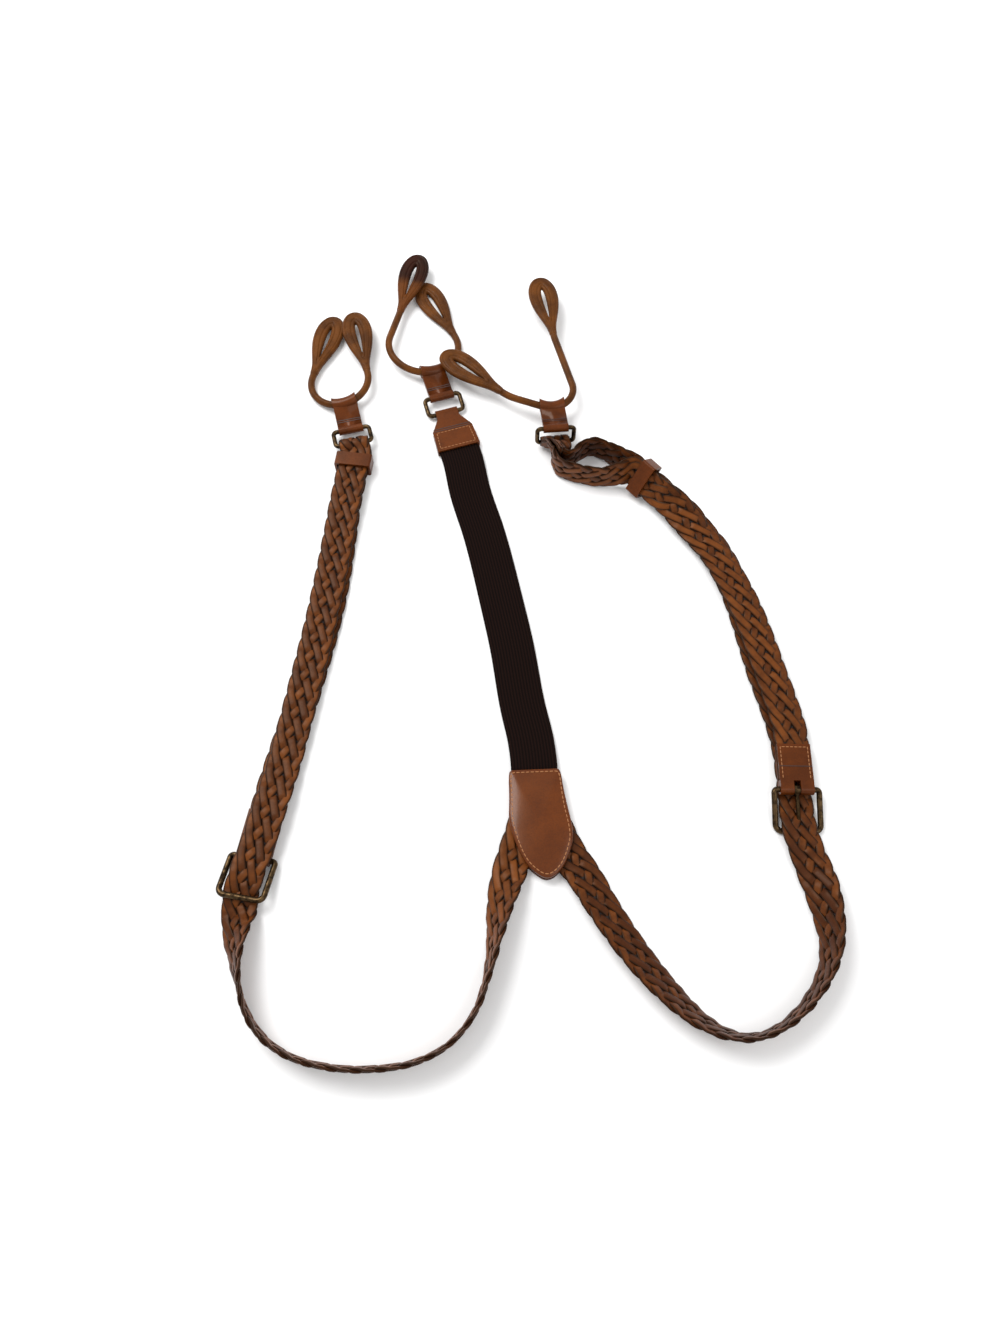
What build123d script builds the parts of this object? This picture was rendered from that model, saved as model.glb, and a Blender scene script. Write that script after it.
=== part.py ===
from build123d import *
import math
import os

# A pair of Y-back braces in braided leather, laid down flat. Millimetres, +Z up,
# X across the pair, Y towards the buttonhole ends.

# driving dimensions
STRAP_W = 23.0          # braided strap, width
STRAP_T = 3.8           # braided strap, thickness
ELASTIC_W = 31.0        # woven elastic, width
ELASTIC_T = 2.0         # woven elastic, thickness
LEATHER = 1.8           # runners, keepers, end tab
PLY = 1.6               # buckle chape ply
CORD_R = 2.75           # rolled cord, radius
CORE_R = 1.4            # cotton core, radius
TAB_LONG = 62.0         # buttonhole tab, length
TAB_WIDE = 24.0         # buttonhole tab, width
TAB_THICK = 4.5         # buttonhole tab, thickness
BUCKLE_BAR_R = 1.5      # buckle wire, radius
BUCKLE_LONG = 26.4      # heel bar to front bar, in plan
RING_BAR_R = 1.25       # ring wire, radius
RING_DROP = 14.5        # between the ring's two long bars
RUNNER_W = 19.0         # runner, width
RUNNER_LONG = 25.5      # ring bar to cord, centre to centre
CHAPE_LONG = 30.5       # chape, from the heel bar to its stitched end
YOKE_PLATE = 1.9        # yoke backing thickness
YOKE_FRONT = 3.0        # yoke cover thickness
KEEPER_LONG = 11.0      # keeper, along the strap
THREAD = 0.7            # stitching line, width
THREAD_PROUD = 0.3      # stitching line, height above the leather

# clearances
TURN_CLEAR = 0.08       # leather or prong round a bar
CORD_CLEAR = 0.30       # cord in its runner
LAYER_GAP = 0.40        # strap lying on strap
LIE_GAP = 0.20          # strap lying on chape
KEEPER_CLEAR = 0.40     # keeper round the straps, each side
SLOT_CLEAR = 0.40       # prong in its slot, each side

# sizes that follow
HALF_T = STRAP_T / 2
LAYER = STRAP_T + LAYER_GAP
CHAPE_W = STRAP_W - 1.0
CHAPE_HALF = HALF_T + PLY
LIE = CHAPE_HALF + LIE_GAP + HALF_T
FRAME_W = STRAP_W + 6.4
RING_W = STRAP_W + 5.0
RING_CORNER = 3.0
PRONG_W = 2.4
PRONG_LOOP_W = 3.6
PRONG_SLOT_W = PRONG_W + 3 * SLOT_CLEAR
BAR_HOLE_R = BUCKLE_BAR_R + TURN_CLEAR
RING_HOLE_R = RING_BAR_R + TURN_CLEAR
BIGHT_R = RING_HOLE_R + HALF_T
FOLD_R = RING_HOLE_R + LEATHER
CORD_HOLE_R = CORD_R + CORD_CLEAR
CORD_FOLD_R = CORD_HOLE_R + LEATHER
TAB_HALF = LEATHER + ELASTIC_T / 2

LOW = HALF_T
TOP = HALF_T + LAYER
RAISED_LOW = LOW + 2.1
RAISED_TOP = RAISED_LOW + LAYER
YOKE_Z = YOKE_PLATE + HALF_T

# where the layout sits: the middle of the laid-out pair
CENTRE = (-0.1, 4.1)


def rest(lean):
    """Height of a strap's middle when it rests on its edge at this lean."""
    angle = math.radians(lean)
    return STRAP_W / 2 * abs(math.sin(angle)) + HALF_T * abs(math.cos(angle))


def across(tangent, lean):
    """Width direction of a strap that travels along tangent at this lean."""
    flat = Vector(-tangent.Y, tangent.X, 0).normalized()
    angle = math.radians(lean)
    return flat * math.cos(angle) + Vector(0, 0, 1) * math.sin(angle)


def angle_between(a, b):
    cosine = max(-1.0, min(1.0, a.normalized().dot(b.normalized())))
    return math.degrees(math.acos(cosine))


def run_frames(stations):
    """Points, tangents and width directions along hand-placed stations.

    A station is (x, y, z, lean) or (x, y, z, (wx, wy, wz)).
    """
    points = [Vector(s[0], s[1], s[2]) for s in stations]
    last = len(points) - 1
    tangents = []
    for i in range(len(points)):
        back = points[i] - points[max(i - 1, 0)]
        ahead = points[min(i + 1, last)] - points[i]
        if i == 0:
            tangents.append(ahead.normalized())
        elif i == last:
            tangents.append(back.normalized())
        else:
            both = back * (ahead.length / back.length) + ahead * (back.length / ahead.length)
            tangents.append(both.normalized())
    widths = []
    for station, tangent in zip(stations, tangents):
        if isinstance(station[3], tuple):
            widths.append(Vector(*station[3]).normalized())
        else:
            widths.append(across(tangent, station[3]))
    frames = []
    for i in range(last):
        p, q = points[i], points[i + 1]
        span = (q - p).length
        u, v = tangents[i] * span, tangents[i + 1] * span
        turn = max(angle_between(u, v), angle_between(widths[i], widths[i + 1]))
        turn = max(turn, angle_between(u, q - p) * 1.5)
        pieces = max(1, math.ceil(turn / 14.0))
        for j in range(pieces):
            t = j / pieces
            frames.append(blend_frame(p, q, u, v, widths[i], widths[i + 1], t))
    frames.append(blend_frame(p, q, u, v, widths[-2], widths[-1], 1.0))
    return frames


def blend_frame(p, q, u, v, a, b, t):
    """Position and axes part way between two stations."""
    point = p * (2 * t**3 - 3 * t**2 + 1) + u * (t**3 - 2 * t**2 + t)
    point = point + q * (3 * t**2 - 2 * t**3) + v * (t**3 - t**2)
    slope = p * (6 * t**2 - 6 * t) + u * (3 * t**2 - 4 * t + 1)
    slope = slope + q * (6 * t - 6 * t**2) + v * (3 * t**2 - 2 * t)
    along = slope.normalized()
    width = a * (1 - t) + b * t
    width = (width - along * width.dot(along)).normalized()
    return point, along, width


def ribbon(stations, width, thickness):
    """A flat strap lofted through the stations."""
    sections = []
    for point, along, side in run_frames(stations):
        up = along.cross(side).normalized()
        s = side * (width / 2)
        h = up * (thickness / 2)
        corners = [point - s - h, point + s - h, point + s + h, point - s + h]
        sections.append(Wire.make_polygon(corners, close=True))
    return Solid.make_loft(sections, ruled=True)


def heading_vector(heading):
    angle = math.radians(heading)
    return Vector(math.cos(angle), math.sin(angle), 0)


def place(point, heading, pitch=0, roll=0):
    """Local +Y along the heading, pitched up and rolled about it."""
    turn = Rot(0, 0, heading - 90) * Rot(pitch, 0, 0) * Rot(0, roll, 0)
    return Location(tuple(point)) * turn


def moved_to(location, x, y, z=0):
    spot = (location * Location((x, y, z))).position
    return Vector(spot.X, spot.Y, spot.Z)


def closed_wire(width, length, wire_r, far_corner, near_corner):
    """Rounded rectangular frame: one bar on local X, the other at local -Y."""
    w = width / 2
    points = [(w, 0, 0), (w, -length, 0), (-w, -length, 0), (-w, 0, 0)]
    corners = [far_corner, far_corner, near_corner, near_corner]
    order = points[0:1] + points[1:]
    path = FilletPolyline(*order, radius=[near_corner] + corners[:2] + [near_corner], close=True)
    wire = Wire(path.edges())
    start = wire @ 0
    section = Plane(origin=start, z_dir=wire % 0) * Circle(wire_r)
    return sweep(section, path=wire)


def bight_stations(centre, heading, width_dir, steps=12):
    ahead = heading_vector(heading)
    out = []
    for i in range(steps + 1):
        angle = math.pi * i / steps
        spot = centre + ahead * (BIGHT_R * math.sin(angle))
        out.append((spot.X, spot.Y, centre.Z + BIGHT_R * math.cos(angle), width_dir))
    return out


# buckles: heel bar axis, in the layout
LEFT_HEEL = Vector(-176.0, -187.0, CHAPE_HALF + THREAD_PROUD)
LEFT_U = 79.5
RIGHT_HEEL = Vector(176.5, -142.5, HALF_T + LIE)
RIGHT_U = 89.0
# rings: the bar the strap turns round, its heading and the pitch of the ring
LEFT_RING = Vector(-130.0, 133.0, 7.4)
LEFT_RING_HEAD = 104.0
RIGHT_RING = Vector(24.5, 136.5, BIGHT_R + HALF_T + 0.2)
RIGHT_RING_HEAD = 94.4
BACK_HEAD = 107.0
BACK_RING = Vector(-59.9, 165.2, 3.3)
FLAT_Z = 6.3
RIGHT_RING_PITCH = 84.0
RIGHT_RUNNER_PITCH = -15.0


def ring_pitch(ring):
    return math.degrees(math.asin((FLAT_Z - ring.Z) / RING_DROP))


def side_point(origin, heading, u, v=0.0):
    ahead = heading_vector(heading)
    return origin + ahead * u + Vector(-ahead.Y, ahead.X, 0) * v


def left_strap_stations():
    def over(u, v, z, lean):
        spot = side_point(LEFT_HEEL, LEFT_U, u, v)
        return (spot.X, spot.Y, z, lean)

    bar_top = LEFT_HEEL.Z + LIE
    at_bar = LEFT_HEEL.Z + BUCKLE_LONG * math.tan(math.radians(FRAME_TILT))
    at_bar = at_bar - BUCKLE_BAR_R - 0.5 - HALF_T
    going = [
        (-1.0, -163.0, YOKE_Z, 0),
        (-6.0, -178.0, YOKE_Z, 0),
        (-9.0, -187.0, YOKE_Z, 0),
        (-12.0, -196.0, YOKE_Z + 1.2, 12),
        (-17.5, -217.0, rest(42), 42),
        (-21.5, -240.0, rest(68), 68),
        (-26.0, -262.0, rest(82), 82),
        (-33.0, -281.0, rest(84), 84),
        (-48.0, -299.0, rest(84), 84),
        (-68.0, -309.0, rest(84), 84),
        (-90.0, -312.5, rest(84), 84),
        (-119.0, -311.5, rest(86), 86),
        (-142.0, -305.5, rest(88), 88),
        (-158.0, -295.5, rest(90), 90),
        (-169.5, -281.0, rest(94), 94),
        (-176.0, -264.0, rest(104), 104),
        (-179.5, -248.0, rest(122), 122),
        (-181.0, -232.0, rest(148), 148),
        (-181.3, -221.0, 4.2, 177),
        over(-BUCKLE_LONG, 0.5, at_bar, 180),
        over(-9.0, 0.0, bar_top, 180),
        over(8.0, -1.5, bar_top, 180),
        over(CHAPE_LONG + 1.0, -2.5, bar_top, 180),
        (-165.0, -143.0, bar_top - 1.2, 180),
        (-162.0, -127.0, TOP, 180),
        (-157.0, -98.0, TOP, 180),
        (-151.5, -63.0, TOP, 180),
        (-145.5, -24.0, TOP, 180),
        (-141.0, 12.0, TOP, 180),
        (-137.5, 45.0, TOP, 180),
        (-134.9, 69.0, TOP + 1.0, 180),
        (-133.6, 80.0, RAISED_TOP, 180),
        (-133.23, 83.0, RAISED_TOP, 180),
        (-128.47, 121.8, RAISED_TOP, 180),
        (-128.1, 124.8, RAISED_TOP, 180),
    ]
    side = heading_vector(LEFT_RING_HEAD - 90)
    turn = bight_stations(LEFT_RING, LEFT_RING_HEAD, (side.X, side.Y, 0))
    coming = [
        (-128.1, 124.8, RAISED_LOW, 0),
        (-128.47, 121.8, RAISED_LOW, 0),
        (-133.23, 83.0, RAISED_LOW, 0),
        (-133.6, 80.0, RAISED_LOW, 0),
        (-134.4, 69.0, LOW + 1.0, 0),
        (-136.0, 45.0, LOW, 0),
        (-138.5, 12.0, LOW, 0),
        (-143.5, -24.0, LOW, 0),
        (-151.0, -63.0, LOW, 0),
        (-158.5, -98.0, LOW, 0),
        (-165.0, -127.0, LOW, 0),
        (-168.0, -142.0, LOW + 0.8, 0),
        over(CHAPE_LONG, 0, LEFT_HEEL.Z, 0),
        over(6.0, 0, LEFT_HEEL.Z, 0),
    ]
    return going + turn + coming


PAIR_LEAN = 55.0
PAIR_Z = 14.1
PAIR_HEAD = 131.6
PAIR_START = Vector(103.0, 81.0, PAIR_Z)
PAIR_LENGTH = 29.4


def pair_layer(u, side):
    """Point of one strap layer in the raised stretch; side +1 is the going layer."""
    spot = side_point(PAIR_START, PAIR_HEAD, u)
    angle = math.radians(PAIR_LEAN)
    right = heading_vector(PAIR_HEAD - 90)
    off = right * math.sin(angle) - Vector(0, 0, 1) * math.cos(angle)
    return spot + off * (side * LAYER / 2)


def right_strap_stations():
    def under(u, v, z, lean):
        spot = side_point(RIGHT_HEEL, RIGHT_U, u, v)
        return (spot.X, spot.Y, z, lean)

    def pair(u, side, lean):
        spot = pair_layer(u, side)
        return (spot.X, spot.Y, spot.Z, lean)

    drop = BUCKLE_LONG * math.tan(math.radians(FRAME_TILT))
    at_bar = RIGHT_HEEL.Z - drop + BUCKLE_BAR_R + 0.5 + HALF_T
    ring = RIGHT_RING
    going = [
        (18.0, -167.0, YOKE_Z, 180),
        (26.0, -184.0, YOKE_Z, 180),
        (30.0, -190.5, YOKE_Z, 180),
        (35.5, -198.5, YOKE_Z + 0.9, 172),
        (44.0, -213.5, rest(163), 163),
        (53.0, -228.5, rest(157), 157),
        (63.0, -243.5, rest(152), 152),
        (73.0, -256.8, rest(146), 146),
        (84.0, -269.5, rest(138), 138),
        (95.0, -280.5, rest(129), 129),
        (106.0, -288.5, rest(119), 119),
        (118.0, -293.8, rest(109), 109),
        (131.0, -295.3, rest(100), 100),
        (144.0, -292.0, rest(96), 96),
        (158.0, -283.5, rest(97), 97),
        (171.5, -270.0, rest(99), 99),
        (181.0, -255.0, rest(104), 104),
        (185.5, -240.0, rest(114), 114),
        (186.0, -224.0, rest(130), 130),
        (184.5, -207.0, rest(150), 150),
        (180.0, -186.0, 4.6, 176),
        under(-BUCKLE_LONG, 0.0, at_bar, 180),
        under(-9.0, 0.0, LOW, 180),
        under(8.0, 0.0, LOW, 180),
        under(CHAPE_LONG + 1.0, 1.0, LOW, 180),
        (173.5, -93.0, LOW, 180),
        (170.0, -77.0, LOW, 180),
        (165.0, -56.0, LOW, 180),
        (161.0, -34.0, LOW, 180),
        (155.0, -3.0, LOW, 180),
        (148.0, 22.0, LOW, 180),
        (139.5, 43.0, LOW, 180),
        (130.0, 57.0, LOW + 1.0, 176),
        (120.0, 68.0, 6.8, 158),
        (111.5, 75.5, 10.0, 138),
        pair(0, 1, 180 - PAIR_LEAN),
        pair(3, 1, 180 - PAIR_LEAN),
        pair(PAIR_LENGTH - 3, 1, 180 - PAIR_LEAN),
        pair(PAIR_LENGTH, 1, 180 - PAIR_LEAN),
        (76.5, 111.5, 13.0, 112),
        (68.5, 118.5, 12.0, 97),
        (60.5, 124.0, 11.8, 92),
        (52.5, 126.8, 11.8, 90),
        (46.0, 125.0, 11.8, 90),
        (40.8, 120.8, 11.8, 90),
        (37.3, 116.9, 11.8, 90),
        (33.5, 115.2, 11.8, 90),
        (30.1, 116.6, 11.8, 90),
    ]
    ahead = heading_vector(RIGHT_RING_HEAD)
    flat = Vector(-ahead.Y, ahead.X, 0)

    def twist(back, lean, side):
        angle = math.radians(lean)
        off = flat * -math.sin(angle) + Vector(0, 0, 1) * math.cos(angle)
        level = rest(lean) + BIGHT_R * math.cos(angle) + 0.2
        spot = ring - ahead * back + off * (side * BIGHT_R)
        width = flat * math.cos(angle) + Vector(0, 0, 1) * math.sin(angle)
        return (spot.X, spot.Y, spot.Z - ring.Z + level, (width.X, width.Y, width.Z))

    turning = ((17.0, 90), (14.0, 72), (11.0, 52), (8.0, 32), (5.0, 14), (2.0, 2))
    enter = [twist(back, lean, 1) for back, lean in turning]
    turn = bight_stations(ring, RIGHT_RING_HEAD, (flat.X, flat.Y, 0))
    leave = [twist(back, lean, -1) for back, lean in reversed(turning)]
    coming = [
        (23.4, 114.0, 11.8, 90),
        (27.0, 108.5, 11.8, 90),
        (32.5, 105.2, 11.8, 90),
        (39.5, 102.8, 11.8, 90),
        (49.0, 100.2, 11.8, 90),
        (61.0, 99.2, 12.2, 88),
        (71.5, 100.8, 14.0, 76),
        pair(PAIR_LENGTH, -1, PAIR_LEAN),
        pair(PAIR_LENGTH - 3, -1, PAIR_LEAN),
        pair(3, -1, PAIR_LEAN),
        pair(0, -1, PAIR_LEAN),
        (109.5, 74.5, 13.6, 40),
        (117.0, 66.0, 10.4, 20),
        (127.0, 54.0, TOP + 0.8, 4),
        (137.0, 40.0, TOP, 0),
        (146.5, 20.0, TOP, 0),
        (156.0, -5.0, TOP, 0),
        (164.0, -35.0, TOP, 0),
        (169.0, -58.0, TOP, 0),
        (174.0, -81.0, TOP, 0),
        (177.0, -99.0, TOP + 0.8, 0),
        under(CHAPE_LONG, 0, RIGHT_HEEL.Z, 0),
        under(6.0, 0, RIGHT_HEEL.Z, 0),
    ]
    return going + enter + turn + leave + coming


FRAME_TILT = 12.6


def prong_slot(heel, heading, flip):
    """The gap in the braid that the prong passes through."""
    length = BUCKLE_LONG - 6.0
    gap = Box(PRONG_SLOT_W, length, 3 * STRAP_T)
    lift = -LIE * (-1 if flip else 1)
    place_it = place(heel, heading) * Location((0, -9.0 - length / 2 + 1.0, lift * 0.8))
    return place_it * gap


def bar_cut(ring, heading):
    rod = Cylinder(RING_HOLE_R, STRAP_W + 8, rotation=(0, 90, 0))
    return place(ring, heading) * rod


def left_strap():
    body = ribbon(left_strap_stations(), STRAP_W, STRAP_T)
    cut = Location((9.5 + 40, -165, YOKE_Z)) * Box(80, 60, 12)
    body = body - cut - bar_cut(LEFT_RING, LEFT_RING_HEAD)
    return body - prong_slot(LEFT_HEEL, LEFT_U, True)


def right_strap():
    body = ribbon(right_strap_stations(), STRAP_W, STRAP_T)
    cut = Location((9.7 - 40, -165, YOKE_Z)) * Box(80, 60, 12)
    body = body - cut - bar_cut(RIGHT_RING, RIGHT_RING_HEAD)
    return body - prong_slot(RIGHT_HEEL, RIGHT_U, False)


def back_elastic():
    start = side_point(BACK_RING, BACK_HEAD, -35.7 + 20.0)
    mouth = side_point(BACK_RING, BACK_HEAD, -35.7)
    lead = side_point(BACK_RING, BACK_HEAD, -35.7 - 8.0)
    stations = [
        (4.6, -146.0, YOKE_Z, 0),
        (4.8, -127.0, YOKE_Z, 0),
        (3.0, -108.0, YOKE_Z - 1.5, 0),
        (-2.5, -81.0, ELASTIC_T / 2, 0),
        (-10.0, -34.0, ELASTIC_T / 2, 0),
        (-17.0, 0.0, ELASTIC_T / 2, 0),
        (-30.0, 57.0, ELASTIC_T / 2, 0),
        (-40.5, 93.0, ELASTIC_T / 2, 0),
        (lead.X, lead.Y, BACK_RING.Z, 0),
        (mouth.X, mouth.Y, BACK_RING.Z, 0),
        (start.X, start.Y, BACK_RING.Z, 0),
    ]
    return ribbon(stations, ELASTIC_W, ELASTIC_T)


def yoke_face(inset):
    points = [
        (-12.5, -129.5),
        (22.0, -128.0),
        (24.0, -145.0),
        (30.0, -171.5),
        (20.5, -194.5),
        (12.7, -201.5),
        (-1.5, -189.5),
        (-12.5, -165.5),
        (-11.8, -146.0),
    ]
    face = make_face(Polyline(*points, close=True))
    if inset:
        return offset(face, amount=-inset, kind=Kind.INTERSECTION)
    return face


def yoke(straps, band):
    back = extrude(yoke_face(0), YOKE_PLATE)
    middle = Location((0, 0, YOKE_PLATE)) * extrude(yoke_face(0.8), STRAP_T)
    for piece in straps:
        middle = middle - piece
    middle = middle - band
    front = extrude(yoke_face(0), YOKE_FRONT)
    front = fillet(front.faces().sort_by(Axis.Z)[-1].edges(), YOKE_FRONT * 0.45)
    front = Location((0, 0, YOKE_PLATE + STRAP_T)) * front
    line = extrude(yoke_face(2.6), THREAD_PROUD) - extrude(yoke_face(2.6 + THREAD), THREAD_PROUD)
    line = Location((0, 0, YOKE_PLATE + STRAP_T + YOKE_FRONT)) * line
    return back, middle, front, line


def chape(heel, heading, flip):
    """Leather folded round the heel bar with the braid's end between its plies."""
    body = Cylinder(CHAPE_HALF, CHAPE_W, rotation=(0, 90, 0))
    slab = Location((0, CHAPE_LONG / 2, 0)) * Box(CHAPE_W, CHAPE_LONG, 2 * CHAPE_HALF)
    body = body + slab - Cylinder(BAR_HOLE_R, CHAPE_W + 2, rotation=(0, 90, 0))
    depth = CHAPE_LONG - 5.9
    gap = Location((0, 5.9 + depth / 2 + 1, 0)) * Box(CHAPE_W + 4, depth + 2, STRAP_T)
    slot = Box(PRONG_LOOP_W + 2 * SLOT_CLEAR, 10.4, 4 * CHAPE_HALF)
    body = body - gap - Location((0, 0, 0)) * slot
    return place(heel, heading, 0, 180 if flip else 0) * body


def chape_stitching(heel, heading, flip):
    outer = Rectangle(CHAPE_W - 4.0, 22.0)
    inner = Location((0, -THREAD)) * Rectangle(CHAPE_W - 4.0 - 2 * THREAD, 22.0)
    line = extrude(outer - inner, THREAD_PROUD)
    line = Location((0, CHAPE_LONG - 13.0, CHAPE_HALF)) * line
    return place(heel, heading, 0, 180 if flip else 0) * line


def buckle_frame(heel, heading, flip):
    length = BUCKLE_LONG / math.cos(math.radians(FRAME_TILT))
    body = closed_wire(FRAME_W, length, BUCKLE_BAR_R, 4.2, 2.2)
    tilt = FRAME_TILT
    return place(heel, heading, 0, 180 if flip else 0) * Rot(tilt, 0, 0) * body


def prong(heel, heading, flip):
    """Prong: a loop on the heel bar and a shank that ends on the front bar."""
    loop_r = BAR_HOLE_R + 1.5
    loop = Cylinder(loop_r, PRONG_LOOP_W, rotation=(0, 90, 0))
    long = BUCKLE_LONG + 1.8
    tilt = FRAME_TILT - math.degrees(math.asin((BUCKLE_BAR_R + 1.08) / BUCKLE_LONG))
    shank = Location((0, -long / 2, 0)) * Box(PRONG_W, long, 2.0)
    shank = fillet(shank.edges().filter_by(Axis.Y), 0.7)
    body = loop + Rot(tilt, 0, 0) * shank
    body = body - Cylinder(BAR_HOLE_R, 20, rotation=(0, 90, 0))
    return place(heel, heading, 0, 180 if flip else 0) * body


def ring(bar, heading, pitch):
    body = closed_wire(RING_W, RING_DROP, RING_BAR_R, RING_CORNER, RING_CORNER)
    return place(bar, heading, pitch) * Rot(0, 0, 180) * body


def ring_far(bar, heading, pitch):
    return moved_to(place(bar, heading, pitch), 0, RING_DROP)


def keeper(point, heading, roll):
    inner_w = STRAP_W + 2 * KEEPER_CLEAR
    inner_h = LAYER + STRAP_T + 2 * (KEEPER_CLEAR - 0.1)
    shell = Box(inner_w + 2 * LEATHER, KEEPER_LONG, inner_h + 2 * LEATHER)
    shell = fillet(shell.edges().filter_by(Axis.Y), 1.6)
    shell = shell - Box(inner_w, KEEPER_LONG + 2, inner_h)
    return place(point, heading, 0, roll) * shell


class CordSet:
    """A rolled cord in a U through its runner, with a buttonhole tab on each end."""

    def __init__(self, bar, heading, pitch, radius, roll, left, right):
        self.bar = bar
        self.heading = heading
        self.pitch = pitch
        self.radius = radius
        self.low = moved_to(place(bar, heading, pitch), 0, RUNNER_LONG)
        self.frame = place(self.low, heading, 0, roll)
        self.left_edges, self.left_end = self.branch(-1, left)
        self.right_edges, self.right_end = self.branch(1, right)

    def centre(self):
        return moved_to(self.frame, 0, self.radius)

    def branch(self, side, moves):
        """Edges from the runner outwards: an arc about the centre, then lines and arcs."""
        x, y, angle = 0.0, 0.0, 0.0
        edges = []
        first_turn, rest_moves = moves[0], moves[1:]
        steps = [("arc", self.radius, first_turn)] + rest_moves
        for step in steps:
            if step[0] == "line":
                a = math.radians(angle)
                nx, ny = x + step[1] * math.cos(a), y + step[1] * math.sin(a)
                edges.append(Edge.make_line((side * x, y, 0), (side * nx, ny, 0)))
                x, y = nx, ny
                continue
            sign = 1 if step[2] > 0 else -1
            radius, turn = step[1], step[2]
            a = math.radians(angle)
            cx, cy = x - sign * radius * math.sin(a), y + sign * radius * math.cos(a)
            spots = []
            for part in (0.5, 1.0):
                b = math.radians(angle + turn * part)
                spots.append((cx + sign * radius * math.sin(b), cy - sign * radius * math.cos(b)))
            (mx, my), (nx, ny) = spots
            edges.append(Edge.make_three_point_arc(
                (side * x, y, 0), (side * mx, my, 0), (side * nx, ny, 0)))
            x, y, angle = nx, ny, angle + turn
        heading = self.heading - 90 + (angle if side > 0 else 180 - angle)
        return edges, (side * x, y, heading)

    def tube(self, radius):
        wire = Wire(self.left_edges[::-1] + self.right_edges)
        section = Plane(origin=wire @ 0, z_dir=wire % 0) * Circle(radius)
        return sweep(section, path=wire)

    def cord(self):
        return self.frame * (self.tube(CORD_R) - self.tube(CORE_R))

    def core(self):
        return self.frame * self.tube(CORE_R - 0.02)

    def tab(self, end, pitch=0.0):
        spot = moved_to(self.frame, end[0], end[1])
        ahead = heading_vector(end[2])
        return place(spot + ahead * 0.15, end[2], pitch) * buttonhole_tab()

    def runner(self):
        slab = Location((0, RUNNER_LONG / 2, 0)) * Box(RUNNER_W, RUNNER_LONG, 2 * LEATHER)
        body = slab + Cylinder(FOLD_R, RUNNER_W, rotation=(0, 90, 0))
        body = place(self.bar, self.heading, self.pitch) * body
        at_centre = self.frame * Location((0, self.radius, 0))
        band = Location((0, 0, 0)) * Box(RUNNER_W, 3 * CORD_FOLD_R, 6 * CORD_FOLD_R)
        band = self.frame * band
        fold = at_centre * Torus(self.radius, CORD_FOLD_R)
        body = body + (fold & band)
        body = body - at_centre * Torus(self.radius, CORD_HOLE_R)
        hole = Cylinder(RING_HOLE_R, RUNNER_W + 2, rotation=(0, 90, 0))
        return body - place(self.bar, self.heading, self.pitch) * hole

    def runner_stitching(self):
        line = Box(RUNNER_W - 3.0, THREAD, THREAD_PROUD)
        lift = LEATHER + THREAD_PROUD / 2
        both = [place(self.bar, self.heading, self.pitch) * Location((0, y, lift)) * line
                for y in (6.6, 8.4)]
        return Compound(children=both)


def buttonhole_tab():
    """Teardrop tab with a long buttonhole, narrow end at the origin."""
    big, small = TAB_WIDE / 2, CORD_R + 0.6
    top = TAB_LONG - big
    circles = (Location((0, top)) * Circle(big)).edges()
    circles += (Location((0, small + 3.0)) * Circle(small)).edges()
    body = extrude(make_hull(circles), TAB_THICK / 2, both=True)
    rims = body.faces().filter_by(Axis.Z)
    body = fillet(rims.edges(), TAB_THICK * 0.33)
    neck = Location((0, 4.0, 0)) * Cylinder(CORD_R, 8.0, rotation=(90, 0, 0))
    body = body + neck
    slit = Location((0, TAB_LONG - 11.0 - 13.0)) * Rot(0, 0, 90) * SlotOverall(26.0, 4.4)
    return body - extrude(slit, TAB_THICK, both=True)


def end_tab():
    """Leather end tab: the elastic between its plies, the ring bar in its fold."""
    bottom = -35.7
    half, neck = ELASTIC_W / 2 + 1.2, 8.75
    points = [
        (-neck, 0), (-neck, -6.0), (-half + 1.0, -17.5), (-half, bottom),
        (half, bottom), (half - 1.0, -17.5), (neck, -6.0), (neck, 0),
    ]
    outline = make_face(Polyline(*points, close=True))
    body = extrude(outline, TAB_HALF, both=True)
    body = body + Cylinder(FOLD_R, 2 * neck, rotation=(0, 90, 0))
    body = body - Cylinder(RING_HOLE_R, 60, rotation=(0, 90, 0))
    pocket = Location((0, bottom + 10.0, 0)) * Box(ELASTIC_W + 0.6, 21.0, ELASTIC_T + 0.2)
    return place(BACK_RING, BACK_HEAD) * (body - pocket)


def end_tab_stitching():
    half = ELASTIC_W / 2 - 1.6
    outer = make_face(Polyline(
        (-half + 1, -19), (-half, -33.4), (half, -33.4), (half - 1, -19), close=True))
    inner = offset(outer, amount=-THREAD)
    line = extrude(outer - inner, THREAD_PROUD)
    return place(BACK_RING, BACK_HEAD) * Location((0, 0, TAB_HALF)) * line


def cord_sets():
    left_bar = ring_far(LEFT_RING, LEFT_RING_HEAD, ring_pitch(LEFT_RING))
    right_bar = ring_far(RIGHT_RING, RIGHT_RING_HEAD, RIGHT_RING_PITCH)
    back_bar = ring_far(BACK_RING, BACK_HEAD, ring_pitch(BACK_RING))
    return {
        "left": CordSet(left_bar, LEFT_RING_HEAD, 0, 23.0, -6.5,
                        [117.0, ("line", 2.0)], [90.0, ("line", 2.0)]),
        "right": CordSet(right_bar, RIGHT_RING_HEAD, RIGHT_RUNNER_PITCH, 18.0, 0,
                         [24.5, ("line", 21.0), ("arc", 40.0, 19.0)],
                         [101.0, ("line", 47.0), ("arc", 40.0, -5.0)]),
        "back": CordSet(back_bar, BACK_HEAD, 0, 28.0, 7.0,
                        [121.0, ("line", 27.0)], [101.0, ("line", 1.0)]),
    }


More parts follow.
